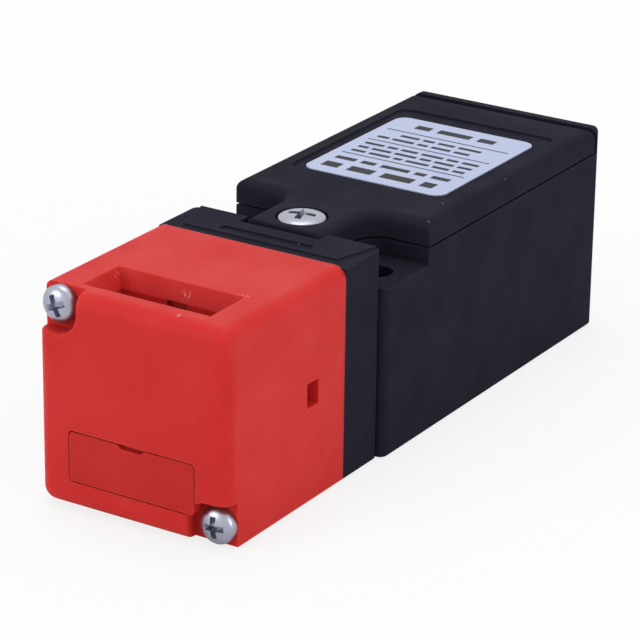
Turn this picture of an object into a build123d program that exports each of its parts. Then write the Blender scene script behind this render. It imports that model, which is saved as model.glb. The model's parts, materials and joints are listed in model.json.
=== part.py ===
from build123d import *
import os
from math import cos, pi, radians, sin

# Tongue interlock switch, in millimetres. The switch lies on its mounting face, with the
# cover up (+Z), the head with the tongue slots at the front (-Y) and the conduit entry at
# the rear (+Y). The origin is midway between the two mounting slots, on the mounting face.
# Everything is drawn with the tongue withdrawn: the cam holds the plunger pressed in.

os.makedirs("parts", exist_ok=True)

# Casing
body_width = 30.0
body_height = 29.5
head_side_step = 0.8
head_level_step = 0.3
body_wall = 2.6
body_floor = 2.4
body_corner = 1.2
foot_round = 0.4

# Mounting
mount_spacing = 20.0
mount_slot_width = 4.3
mount_slot_length = 5.3
mount_setback = 5.0
mount_pocket_depth = 5.9

# Conduit entry, an M20 x 1.5 thread drawn at its crests
entry_radius = 9.19
entry_wall = 9.2
entry_chamfer = 0.6

# Running and seating clearances
running_gap = 0.04
slip_gap = 0.1
loose_gap = 0.3
cam_gap = 0.08

# Head
head_wall = 2.4
head_front_wall = 3.6
head_top_wall = 3.4
head_front_round = 2.0
head_right_round = 1.8
head_left_round = 1.0
slot_setback = 7.2
throat_inset = 1.2
throat_height = 5.6
funnel_depth = 2.4
funnel_side_flare = 1.1
funnel_end_flare = 1.0
keyway_width = 3.1
keyway_depth = 0.7
catch_window_length = 2.7
catch_window_height = 3.4
catch_window_reach = 7.45
head_screw_inset = 2.5
head_screw_drop = 2.55
recess_width = 6.0
recess_height = 5.8
recess_depth = 2.4
recess_round = 2.9
recess_edge_round = 0.4
screw_boss_radius = 3.2

# Plug that blanks the front tongue slot
plug_side_lip = 0.9
plug_end_lip = 0.5
plug_gap = 0.2
plug_round = 0.5
plug_wall = 1.0
plug_reach = 1.8
grip_width = 4.1
grip_base = 3.0
grip_height = 0.5
grip_depth = 0.8

# Cam wheel, its axle and the cradle that carries them
wheel_head_gap = 2.05
wheel_front_gap = 1.85
wheel_angle = 60.0
cam_rim = 1.5
cam_hub_step = 0.5
cam_width = 5.8
cam_lead_out = 8.0
cam_steps = 8
disc_inner = 3.4
disc_width = 3.6
hub_radius = 3.4
notch_width = 3.4
notch_depth = 3.8
notch_angle = 145.0
axle_radius = 1.5
cradle_gap = 0.2
cradle_wall = 1.7
cradle_plate = 2.37
cradle_margin = 1.45
cradle_reach = 6.0
cradle_round = 3.0
catch_depth = 1.4

# Plunger, its bush, seal and spring
stem_radius = 2.3
crown_height = 9.2
crown_thickness = 2.0
plunger_spring_wire = 0.5
plunger_spring_turns = 5
spring_pocket_depth = 2.5
bush_radius = 3.6
bush_length = 3.4
flange_radius = 4.8
flange_thickness = 1.0
seal_radius = 5.4
seal_thickness = 1.6
seal_groove_inner = 3.2
seal_groove_width = 1.2
seal_groove_depth = 0.8

# Collar between head and body
collar_screw_web = 0.6
collar_screw_z = 5.6
collar_screw_grip = 6.0
collar_head_depth = 3.2
collar_rear_round = 1.0
collar_pad_step = 0.25
collar_pad_setback = 1.8
collar_pad_margin = 2.5
collar_pad_rear_margin = 0.8
collar_slot_length = 13.8
collar_slot_width = 1.5
collar_slot_setback = 3.4
collar_slot_depth = 0.3
spigot_width = 16.0
spigot_height = 2.2
spigot_length = 1.5

# Screws
small_screw_radius = 1.5
head_screw_head_radius = 2.45
head_screw_head_height = 1.85
head_screw_crown = 0.8
collar_head_radius = 2.7
collar_head_height = 2.2
head_screw_grip = 6.0
screw_clearance = 0.2
thread_gap = 0.05
screw_tip = 0.5
cover_head_radius = 3.2
cover_head_height = 2.3
cover_head_crown = 0.5
cover_head_seat = 1.9
cover_screw_setback = 3.4
cover_screw_length = 7.0

# Cover
parting_drop = 3.6
parting_gap = 0.3
neck_half_width = 5.8
neck_reach = 1.1
foot_reach = 0.8
foot_drop = 0.8
foot_gap = 0.2
neck_round = 0.4
shoulder_setback = 10.6
shoulder_round = 3.4
cover_edge_round = 1.3
cover_plate = 1.8
skirt_wall = 1.2
skirt_depth = 2.0
rear_lip = 1.2
rear_lip_gap = 0.35
tab_width = 10.0
tab_thickness = 1.0
tab_grip = 0.5
tab_drop = 1.9
gasket_width = 1.1
gasket_depth = 0.9
pocket_wall = 2.4
cavity_round = 2.0
retainer_radius = 2.6
retainer_depth = 0.9

# Label and its panel
panel_side_margin = 2.6
panel_front_margin = 8.4
panel_rear_margin = 6.85
panel_depth = 0.3
panel_round = 1.6
label_side_margin = 1.5
label_front_margin = 1.2
label_rear_margin = 3.0
label_thickness = 0.15
label_round = 1.8

# Contact block
nose_radius = 2.5
nose_bore_radius = 4.5
block_gap = 0.6
block_rear_gap = 1.77
block_wall = 1.5
block_side_gap = 0.5
carrier_width = 5.6
carrier_height = 5.3
carrier_lead = 0.9
carrier_tail = 1.05
contact_spring_room = 3.2
contact_lead = 1.0
tower_length = 5.4
tower_lead = 0.6
strip_thickness = 0.8
strip_width = 3.8
pad_offset = 0.8
pad_margin = 0.5
pad_rise = 2.45
tip_radius = 1.4
tip_thickness = 0.7
tip_spacing = 12.0
bridge_length = 15.8
bridge_thickness = 0.7
bridge_height = 3.5
contact_coil_radius = 1.5
contact_coil_wire = 0.35
contact_coil_turns = 4
spring_runs = 12
return_spring_radius = 1.9
return_spring_wire = 0.45
return_spring_turns = 6
return_spring_length = 5.0
spring_wall = 1.2
spring_wall_width = 12.0
spring_pin_radius = 1.2
spring_pin_length = 2.8
lid_thickness = 1.2
lid_leg = 1.2
lid_leg_length = 4.0
lid_gap = 0.2
clamp_length = 5.0
clamp_width = 5.0
clamp_thickness = 0.8
terminal_head_radius = 2.4
terminal_head_height = 1.8
terminal_screw_length = 4.6
locating_rib = 0.4
locating_rib_width = 2.0

# Places and sizes that follow from the ones above, from the front of the body to both ends
body_front = -mount_setback
axis_z = body_height / 2
head_width = body_width - 2 * head_side_step
head_height = body_height - 2 * head_level_step
head_top = axis_z + head_height / 2
head_bottom = axis_z - head_height / 2
collar_length = spring_pocket_depth + bush_length + flange_thickness + seal_thickness
collar_front = body_front - collar_length
front_slot_z = head_bottom + slot_setback
slot_lever = axis_z - front_slot_z

head_cavity_half = head_width / 2 - head_wall
head_cavity_top = head_height / 2 - head_top_wall
head_cavity_bottom = -head_height / 2 + head_wall
wheel_radius = head_cavity_top - wheel_head_gap
cam_high = wheel_radius - cam_rim
cam_low = hub_radius + cam_hub_step
plunger_stroke = cam_high - cam_low
cam_rate = plunger_stroke / radians(wheel_angle)
crown_back = collar_front - cradle_plate - slip_gap
crown_front = crown_back - crown_thickness
crown_width = 2 * (disc_inner - loose_gap)
wheel_y = crown_front - cam_gap - cam_high
top_slot_y = wheel_y - slot_lever
head_cavity_front = wheel_y - wheel_radius - wheel_front_gap
head_front = head_cavity_front - head_front_wall
head_length = collar_front - head_front
recess_floor = head_front + recess_depth
head_screw_x = head_width / 2 - head_screw_inset
head_screw_z = head_height / 2 - head_screw_drop
head_screw_points = [(-head_screw_x, head_screw_z), (head_screw_x, -head_screw_z)]
catch_y = collar_front - catch_window_reach - wheel_y
spigot_top = head_cavity_top - cradle_gap
spigot_bottom = head_cavity_bottom + cradle_gap
cradle_height = 2 * (spigot_top - spigot_height - cradle_margin)
cradle_half = head_cavity_half - cradle_gap
cradle_inner = cradle_half - cradle_wall
cradle_front = wheel_y - cradle_reach
cradle_plate_front = collar_front - cradle_plate
hub_half = cradle_inner - loose_gap
throat_width = 2 * (hub_half - throat_inset)
funnel_width = throat_width + 2 * funnel_side_flare
funnel_height = throat_height + 2 * funnel_end_flare
plug_width = throat_width + 2 * plug_side_lip
plug_height = throat_height + 2 * plug_end_lip
plug_back = head_cavity_front + plug_reach
plunger_spring_radius = stem_radius + slip_gap + plunger_spring_wire
spring_pocket_radius = plunger_spring_radius + plunger_spring_wire
bush_front = collar_front + spring_pocket_depth
bush_back = bush_front + bush_length
seal_front = bush_back + flange_thickness
plunger_end = body_front + plunger_stroke + loose_gap
collar_screw_x = (mount_spacing - mount_slot_length) / 2 - collar_screw_web - thread_gap - small_screw_radius
collar_screw_points = [(collar_screw_x, collar_screw_z), (-collar_screw_x, -collar_screw_z)]

mount_floor = body_height - mount_pocket_depth
parting_height = body_height - parting_drop
cover_bottom = parting_height + parting_gap
cover_seat = body_height - cover_head_seat
cover_ceiling = body_height - cover_plate
shoulder_y = body_front + shoulder_setback
cavity_front = shoulder_y + pocket_wall
cavity_half = body_width / 2 - body_wall
neck_front = body_front - neck_reach
cover_screw_y = body_front + cover_screw_setback
tab_top = body_height - tab_drop

lid_inner = carrier_width / 2 + loose_gap + slip_gap
lid_half = lid_inner + lid_leg
tower_inner = lid_half + lid_gap
block_front = cavity_front + block_gap
block_half = cavity_half - block_side_gap
block_round = cavity_round - block_side_gap
deck_z = axis_z - carrier_height / 2 - slip_gap
lid_bottom = axis_z + carrier_height / 2 + slip_gap
pad_inner = tower_inner + pad_offset
pad_width = block_half - pad_margin - pad_inner
pad_seat = axis_z + pad_rise
pad_top = pad_seat + strip_thickness
tower_front = block_front + tower_lead
tower_middle = tower_front + tower_length / 2
strip_y = tower_front + tower_length
fixed_tip_y = strip_y + strip_thickness + tip_thickness
contact_travel = plunger_stroke - contact_lead
bridge_tip_y = fixed_tip_y + contact_travel + running_gap
bridge_y = bridge_tip_y + tip_thickness
contact_pitch = bridge_y + bridge_thickness + loose_gap - tower_front
carrier_window_height = bridge_height + 2 * slip_gap
carrier_window_depth = bridge_thickness + contact_spring_room
contact_spring_y = bridge_y + bridge_thickness + running_gap
contact_spring_length = contact_spring_room - 2 * running_gap
carrier_front = block_front + carrier_lead
carrier_rear = bridge_y + contact_pitch + carrier_window_depth + carrier_tail
spring_wall_y = carrier_rear + return_spring_length
block_rear = spring_wall_y + spring_wall
block_middle = (block_front + block_rear) / 2
block_length = block_rear - block_front
nose_front = plunger_end + running_gap
terminal_x = pad_inner + pad_width / 2
contact_steps = [0, contact_pitch]
terminal_points = [(side * terminal_x, tower_middle + step) for side in (-1, 1) for step in contact_steps]

cavity_rear = block_rear + block_rear_gap
cavity_middle = (cavity_front + cavity_rear) / 2
cavity_length = cavity_rear - cavity_front
body_rear = cavity_rear + entry_wall
body_middle = (body_front + body_rear) / 2
body_length = body_rear - body_front
cover_rear = body_rear - rear_lip - rear_lip_gap
panel_front = shoulder_y + panel_front_margin
panel_rear = cover_rear - panel_rear_margin
panel_width = body_width - 2 * panel_side_margin
label_front = panel_front + label_front_margin
label_rear = panel_rear - label_rear_margin
label_width = panel_width - 2 * label_side_margin
label_seat = body_height - panel_depth


def across(y):
    """Plane square to the switch's length: local x is +X, local y is +Z, and it faces the front."""
    return Plane(origin=(0, y, axis_z), x_dir=(1, 0, 0), z_dir=(0, -1, 0))


def level(z):
    """Horizontal plane at a height above the mounting face."""
    return Plane.XY.offset(z)


def beside(x):
    """Plane square to the wheel's axle, with its origin on it: local x is +Y and local y is +Z."""
    return Plane(origin=(x, wheel_y, axis_z), x_dir=(0, 1, 0), z_dir=(1, 0, 0))


def pan_screw(head_radius, head_height, crown, shank_radius, length):
    """Pan-head screw with its seat on the XY plane, its head up, its shank down and a cross recess."""
    rim = head_height - crown
    bar = head_radius * 0.3
    reach = head_radius * 1.15
    with BuildPart() as screw:
        with BuildSketch(Plane.XZ):
            with BuildLine():
                Polyline(
                    (0, head_height),
                    (0, -length),
                    (shank_radius - screw_tip, -length),
                    (shank_radius, -length + screw_tip),
                    (shank_radius, 0),
                    (head_radius, 0),
                    (head_radius, rim),
                )
                TangentArc((0, head_height), (head_radius, rim), tangent=(1, 0))
            make_face()
        revolve(axis=Axis.Z)
        with BuildSketch(Plane.XY.offset(head_height)):
            Rectangle(reach, bar)
            Rectangle(bar, reach)
        extrude(amount=-head_height * 0.6, mode=Mode.SUBTRACT)
    return screw.part


def cheese_screw(head_radius, head_height, shank_radius, length):
    """Slotted screw with a plain round head, its seat on the XY plane and its shank down."""
    with BuildPart() as screw:
        with BuildSketch(Plane.XY):
            Circle(head_radius)
        extrude(amount=head_height)
        with BuildSketch(Plane.XY):
            Circle(shank_radius)
        extrude(amount=-length)
        with BuildSketch(Plane.XY.offset(head_height)):
            Rectangle(2 * head_radius, head_radius * 0.35)
        extrude(amount=-head_height / 2, mode=Mode.SUBTRACT)
    return screw.part


def coil_spring(length, radius, wire, turns):
    """Coil spring round the Z axis that stands on the XY plane and ends at its length.

    Its path is a helix of short straight runs and its wire has six sides, to keep its faces few.
    """
    runs = turns * spring_runs
    step_angle = 2 * pi / spring_runs
    rise = (length - wire) / runs
    with BuildPart() as coil:
        with BuildLine() as path:
            Polyline(
                *[
                    (radius * cos(i * step_angle), radius * sin(i * step_angle), wire / 2 + i * rise)
                    for i in range(runs + 1)
                ]
            )
        with BuildSketch(Plane(origin=path.line @ 0, z_dir=path.line % 0)):
            RegularPolygon(wire / 2, 6)
        sweep(path=path.line, transition=Transition.RIGHT)
    return coil.part


def cover_outline(front, rear, rear_round):
    """Outline of the cover: a neck between the mounting pockets, concave corners, then shoulders."""
    half = body_width / 2
    with BuildSketch() as outline:
        with BuildLine():
            Polyline(
                (-neck_half_width, front),
                (neck_half_width, front),
                (neck_half_width, shoulder_y),
                (half, shoulder_y),
                (half, rear),
                (-half, rear),
                (-half, shoulder_y),
                (-neck_half_width, shoulder_y),
                close=True,
            )
        make_face()
        shoulders = outline.vertices().group_by(Axis.Y)[1].sort_by(Axis.X)
        fillet(shoulders[1:3], shoulder_round)
        fillet(outline.vertices().group_by(Axis.Y)[-1], rear_round)
    return outline.sketch


def cam_point(angle):
    """Point of the cam whose tangent is square to an angle from +Y: its lift grows evenly with it."""
    lift = cam_high + cam_rate * angle
    return (lift * cos(angle) - cam_rate * sin(angle), lift * sin(angle) + cam_rate * cos(angle))


# Head housing, moulded in one piece: two tongue slots, two screw recesses and two catch windows
with BuildPart() as head_housing:
    with BuildSketch(across(collar_front)):
        Rectangle(head_width, head_height)
    extrude(amount=head_length)
    long_edges = head_housing.edges().filter_by(Axis.Y)
    top_right = long_edges.sort_by(lambda e: e.center().X + e.center().Z)[-1]
    top_left = long_edges.sort_by(lambda e: e.center().Z - e.center().X)[-1]
    bottom_left = long_edges.sort_by(lambda e: e.center().X + e.center().Z)[0]
    fillet(top_right, head_right_round)
    fillet(top_left, head_left_round)
    fillet(bottom_left, head_front_round)
    front_rim = head_housing.faces().sort_by(Axis.Y)[0].edges()
    fillet(front_rim.filter_by(lambda e: e.length > head_width / 2), head_front_round)
    with BuildSketch(across(recess_floor)):
        for side in (-1, 1):
            with Locations((side * head_width / 2, -side * head_height / 2)):
                RectangleRounded(2 * recess_width, 2 * recess_height, recess_round)
    extrude(amount=recess_depth, mode=Mode.SUBTRACT)
    front_arcs = head_housing.faces().sort_by(Axis.Y)[0].edges().filter_by(GeomType.CIRCLE)
    fillet(front_arcs.filter_by(lambda e: abs(e.radius - recess_round) < slip_gap), recess_edge_round)
    with BuildSketch(across(collar_front)):
        with Locations((0, (head_cavity_top + head_cavity_bottom) / 2)):
            Rectangle(2 * head_cavity_half, head_cavity_top - head_cavity_bottom)
        with Locations(*head_screw_points):
            Circle(screw_boss_radius, mode=Mode.SUBTRACT)
    extrude(amount=collar_front - head_cavity_front, mode=Mode.SUBTRACT)
    with BuildSketch(level(head_top)):
        with Locations((0, top_slot_y)):
            Rectangle(funnel_width, funnel_height)
    with BuildSketch(level(head_top - funnel_depth)):
        with Locations((0, top_slot_y)):
            Rectangle(throat_width, throat_height)
    loft(mode=Mode.SUBTRACT)
    with BuildSketch(level(head_top - funnel_depth)):
        with Locations((0, top_slot_y)):
            Rectangle(throat_width, throat_height)
        with Locations((0, top_slot_y + (throat_height + keyway_depth) / 2)):
            Rectangle(keyway_width, keyway_depth)
    extrude(amount=funnel_depth - head_top_wall - slip_gap, mode=Mode.SUBTRACT)
    with BuildSketch(across(head_front + funnel_depth)):
        with Locations((0, front_slot_z - axis_z)):
            RectangleRounded(plug_width + 2 * plug_gap, plug_height + 2 * plug_gap, plug_round + plug_gap)
    extrude(amount=funnel_depth, mode=Mode.SUBTRACT)
    with BuildSketch(across(head_cavity_front + slip_gap)):
        with Locations((0, front_slot_z - axis_z)):
            Rectangle(throat_width, throat_height)
    extrude(amount=head_front_wall - funnel_depth + slip_gap, mode=Mode.SUBTRACT)
    with BuildSketch(beside(0)):
        with Locations((catch_y, 0)):
            Rectangle(catch_window_length, catch_window_height)
    extrude(amount=head_width / 2, both=True, mode=Mode.SUBTRACT)
    with BuildSketch(across(collar_front)):
        with Locations(*head_screw_points):
            Circle(small_screw_radius + screw_clearance)
    extrude(amount=head_length, mode=Mode.SUBTRACT)
head_housing.part.label = "head_housing"
export_step(head_housing.part, "parts/head_housing.step")

# Plug in the front slot: a flush plate with a finger notch, and a hollow stub that fills the throat
with BuildPart() as slot_plug:
    plate_back = head_front + funnel_depth - slip_gap
    with BuildSketch(across(plate_back)):
        with Locations((0, front_slot_z - axis_z)):
            RectangleRounded(plug_width, plug_height, plug_round)
    extrude(amount=plate_back - head_front)
    with BuildSketch(across(plug_back)):
        with Locations((0, front_slot_z - axis_z)):
            Rectangle(throat_width - 2 * slip_gap, throat_height - 2 * slip_gap)
            Rectangle(
                throat_width - 2 * slip_gap - 2 * plug_wall,
                throat_height - 2 * slip_gap - 2 * plug_wall,
                mode=Mode.SUBTRACT,
            )
    extrude(amount=plug_back - plate_back)
    with BuildSketch(across(head_front + grip_depth)):
        with BuildLine():
            grip_top = front_slot_z - axis_z + plug_height / 2
            Polyline(
                (-grip_width / 2, grip_top),
                (-grip_base / 2, grip_top - grip_height),
                (grip_base / 2, grip_top - grip_height),
                (grip_width / 2, grip_top),
                close=True,
            )
        make_face()
    extrude(amount=grip_depth, mode=Mode.SUBTRACT)
slot_plug.part.label = "slot_plug"
export_step(slot_plug.part, "parts/slot_plug.step")

# Cradle: a U of two cheeks and a back plate, held in the head by a catch in each side window
with BuildPart() as wheel_cradle:
    with BuildSketch(beside(-cradle_half)):
        with Locations(((cradle_front + collar_front) / 2 - wheel_y, 0)):
            Rectangle(collar_front - cradle_front, cradle_height)
    extrude(amount=2 * cradle_half)
    front_edges = wheel_cradle.edges().filter_by(Axis.X).group_by(Axis.Y)[0]
    fillet(front_edges, cradle_round)
    with BuildSketch(beside(-cradle_inner)):
        with Locations(((cradle_front + cradle_plate_front) / 2 - wheel_y, 0)):
            Rectangle(cradle_plate_front - cradle_front, cradle_height)
    extrude(amount=2 * cradle_inner, mode=Mode.SUBTRACT)
    with BuildSketch(beside(-cradle_half - catch_depth)):
        with Locations((catch_y, 0)):
            Rectangle(catch_window_length - 2 * slip_gap, catch_window_height - 2 * slip_gap)
    extrude(amount=catch_depth)
    with BuildSketch(beside(cradle_half)):
        with Locations((catch_y, 0)):
            Rectangle(catch_window_length - 2 * slip_gap, catch_window_height - 2 * slip_gap)
    extrude(amount=catch_depth)
    catch_tips = wheel_cradle.faces().filter_by(Axis.X)
    for catch_tip in (catch_tips.sort_by(Axis.X)[0], catch_tips.sort_by(Axis.X)[-1]):
        chamfer(catch_tip.edges().sort_by(Axis.Y)[-1], catch_depth / 2)
    with BuildSketch(beside(-cradle_half)):
        Circle(axle_radius + running_gap)
    extrude(amount=2 * cradle_half, mode=Mode.SUBTRACT)
    with BuildSketch(across(collar_front)):
        Circle(spring_pocket_radius)
    extrude(amount=collar_front - cradle_plate_front, mode=Mode.SUBTRACT)
wheel_cradle.part.label = "wheel_cradle"
export_step(wheel_cradle.part, "parts/wheel_cradle.step")

# Steel axle, held end to end by the walls of the head
with BuildPart() as wheel_axle:
    with BuildSketch(beside(-cradle_half)):
        Circle(axle_radius)
    extrude(amount=2 * cradle_half)
    chamfer(wheel_axle.edges().filter_by(GeomType.CIRCLE), slip_gap)
wheel_axle.part.label = "wheel_axle"
export_step(wheel_axle.part, "parts/wheel_axle.step")

# Cam wheel: two notched discs that the tongue turns, and between them the cam that lifts evenly
with BuildPart() as cam_wheel:
    with BuildSketch(beside(-hub_half)):
        Circle(hub_radius)
    extrude(amount=2 * hub_half)
    for disc_start in (-disc_inner - disc_width, disc_inner):
        with BuildSketch(beside(disc_start)):
            Circle(wheel_radius)
            with PolarLocations(wheel_radius, 2, start_angle=notch_angle, angular_range=90, endpoint=True):
                SlotOverall(2 * notch_depth, notch_width, mode=Mode.SUBTRACT)
        extrude(amount=disc_width)
    with BuildSketch(beside(-cam_width / 2)):
        Circle(cam_low)
        with BuildLine():
            sweep_angle = radians(wheel_angle)
            lead_out = radians(cam_lead_out)
            step_angle = (sweep_angle + lead_out) / cam_steps
            flank = [cam_point(i * step_angle - sweep_angle) for i in range(cam_steps + 1)]
            start = (cam_low * cos(-sweep_angle), cam_low * sin(-sweep_angle))
            Line((0, 0), start)
            Line(start, flank[0])
            Spline(flank)
            Line(flank[-1], (0, cam_low))
            Line((0, cam_low), (0, 0))
        make_face()
    extrude(amount=cam_width)
    with BuildSketch(beside(-hub_half)):
        Circle(axle_radius + running_gap)
    extrude(amount=2 * hub_half, mode=Mode.SUBTRACT)
cam_wheel.part.label = "cam_wheel"
export_step(cam_wheel.part, "parts/cam_wheel.step")

# Plunger: a flat crown that rides on the cam between the discs, and a round stem
with BuildPart() as plunger:
    with BuildSketch(across(crown_back)):
        RectangleRounded(crown_width, crown_height, loose_gap)
    extrude(amount=crown_thickness)
    with BuildSketch(across(plunger_end)):
        Circle(stem_radius)
    extrude(amount=plunger_end - crown_back)
    chamfer(plunger.faces().sort_by(Axis.Y)[-1].edges(), loose_gap)
plunger.part.label = "plunger"
export_step(plunger.part, "parts/plunger.step")

# Spring that keeps the plunger on the cam
with BuildPart() as plunger_spring:
    spring_length = bush_front - crown_back - 2 * running_gap
    with Locations(Location((0, crown_back + running_gap, axis_z), (-90, 0, 0))):
        add(coil_spring(spring_length, plunger_spring_radius, plunger_spring_wire, plunger_spring_turns))
plunger_spring.part.label = "plunger_spring"
export_step(plunger_spring.part, "parts/plunger_spring.step")

# Flanged bush that guides the stem
with BuildPart() as guide_bush:
    with BuildSketch(across(bush_back)):
        Circle(bush_radius)
    extrude(amount=bush_length)
    with BuildSketch(across(seal_front)):
        Circle(flange_radius)
    extrude(amount=flange_thickness)
    with BuildSketch(across(seal_front)):
        Circle(stem_radius + running_gap)
    extrude(amount=flange_thickness + bush_length, mode=Mode.SUBTRACT)
guide_bush.part.label = "guide_bush"
export_step(guide_bush.part, "parts/guide_bush.step")

# Rubber seal behind the bush, with a groove that leaves a lip round the stem
with BuildPart() as plunger_seal:
    with BuildSketch(across(body_front)):
        Circle(seal_radius)
        Circle(stem_radius + running_gap, mode=Mode.SUBTRACT)
    extrude(amount=body_front - seal_front)
    with BuildSketch(across(body_front)):
        Circle(seal_groove_inner + seal_groove_width)
        Circle(seal_groove_inner, mode=Mode.SUBTRACT)
    extrude(amount=seal_groove_depth, mode=Mode.SUBTRACT)
plunger_seal.part.label = "plunger_seal"
export_step(plunger_seal.part, "parts/plunger_seal.step")

# Collar: carries the head on two spigots, holds bush and seal, and is screwed to the housing
with BuildPart() as head_collar:
    with BuildSketch(across(body_front)):
        Rectangle(head_width, head_height)
    extrude(amount=collar_length)
    fillet(head_collar.edges().filter_by(Axis.Z).group_by(Axis.Y)[-1], collar_rear_round)
    with BuildSketch(level(head_top)):
        with Locations((0, (collar_front + body_front) / 2)):
            Rectangle(head_width, collar_length)
        pad_front = collar_front + collar_pad_setback
        front_half = head_width / 2 - collar_pad_margin
        rear_half = head_width / 2 - collar_pad_rear_margin
        with BuildLine():
            Polyline(
                (-front_half, pad_front),
                (front_half, pad_front),
                (rear_half, body_front),
                (-rear_half, body_front),
                close=True,
            )
        make_face(mode=Mode.SUBTRACT)
    extrude(amount=-collar_pad_step, mode=Mode.SUBTRACT)
    with BuildSketch(level(head_top)):
        with Locations((0, collar_front + collar_slot_setback)):
            Rectangle(collar_slot_length, collar_slot_width)
    extrude(amount=-collar_slot_depth, mode=Mode.SUBTRACT)
    foot_pocket = neck_reach + foot_reach + foot_gap
    with BuildSketch(level(head_top)):
        with Locations((0, body_front - foot_pocket / 2)):
            Rectangle(2 * (neck_half_width + loose_gap), foot_pocket)
    extrude(amount=cover_bottom - slip_gap - head_top, mode=Mode.SUBTRACT)
    with BuildSketch(across(collar_front)):
        with Locations((0, spigot_top - spigot_height / 2), (0, spigot_bottom + spigot_height / 2)):
            Rectangle(spigot_width, spigot_height)
    extrude(amount=spigot_length)
    with BuildSketch(across(body_front)):
        Circle(spring_pocket_radius)
    extrude(amount=collar_length, mode=Mode.SUBTRACT)
    with BuildSketch(across(body_front)):
        Circle(bush_radius + running_gap)
    extrude(amount=body_front - bush_front, mode=Mode.SUBTRACT)
    with BuildSketch(across(body_front)):
        Circle(flange_radius + running_gap)
    extrude(amount=body_front - bush_back, mode=Mode.SUBTRACT)
    with BuildSketch(across(body_front)):
        Circle(seal_radius + running_gap)
    extrude(amount=body_front - seal_front, mode=Mode.SUBTRACT)
    with BuildSketch(across(collar_front + head_screw_grip + screw_tip)):
        with Locations(*head_screw_points):
            Circle(small_screw_radius + thread_gap)
    extrude(amount=head_screw_grip + screw_tip, mode=Mode.SUBTRACT)
    with BuildSketch(across(body_front)):
        with Locations(*collar_screw_points):
            Circle(small_screw_radius + screw_clearance)
    extrude(amount=collar_length, mode=Mode.SUBTRACT)
    with BuildSketch(across(collar_front + collar_head_depth)):
        with Locations(*collar_screw_points):
            Circle(collar_head_radius + slip_gap)
    extrude(amount=collar_head_depth, mode=Mode.SUBTRACT)
head_collar.part.label = "head_collar"
export_step(head_collar.part, "parts/head_collar.step")

# Two screws that hold the head, on opposite corners so that it can be turned in quarter turns
with BuildPart() as head_screws:
    head_screw_length = collar_front + head_screw_grip - recess_floor
    for x, z in head_screw_points:
        with Locations(Location((x, recess_floor, axis_z + z), (90, 0, 0))):
            head_size = (head_screw_head_radius, head_screw_head_height, head_screw_crown)
            add(pan_screw(*head_size, small_screw_radius, head_screw_length))
head_screws.part.label = "head_screws"
export_step(head_screws.part, "parts/head_screws.step")

# Two screws that hold the collar, hidden under the head
with BuildPart() as collar_screws:
    collar_screw_length = collar_length - collar_head_depth + collar_screw_grip
    for x, z in collar_screw_points:
        with Locations(Location((x, collar_front + collar_head_depth, axis_z + z), (90, 0, 0))):
            head_size = (collar_head_radius, collar_head_height)
            add(cheese_screw(*head_size, small_screw_radius, collar_screw_length))
collar_screws.part.label = "collar_screws"
export_step(collar_screws.part, "parts/collar_screws.step")

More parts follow.
